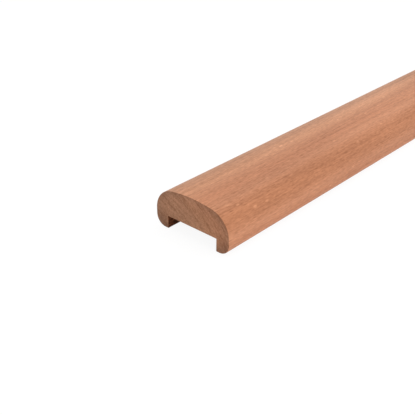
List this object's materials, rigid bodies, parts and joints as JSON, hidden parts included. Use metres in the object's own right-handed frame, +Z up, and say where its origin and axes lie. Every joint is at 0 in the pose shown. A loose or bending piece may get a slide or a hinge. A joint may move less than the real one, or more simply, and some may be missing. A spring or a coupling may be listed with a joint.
{
  "type": "stair handrail",
  "caption": "Straight length of moulded hardwood stair handrail: low rounded top, upright sides and a groove underneath for baluster heads.",
  "frame": {"origin": "on the floor under the middle of the rail, at the centre of its underside", "axes": "+X along the rail, +Y across it, +Z up from the feet to the crown"},
  "size_m": [1.8, 0.069, 0.033],
  "materials": {
    "timber": "planed light red hardwood, unvarnished, with sawn ends"
  },
  "bodies": {
    "root": {"handrail": "timber"}
  },
  "joints": []
}
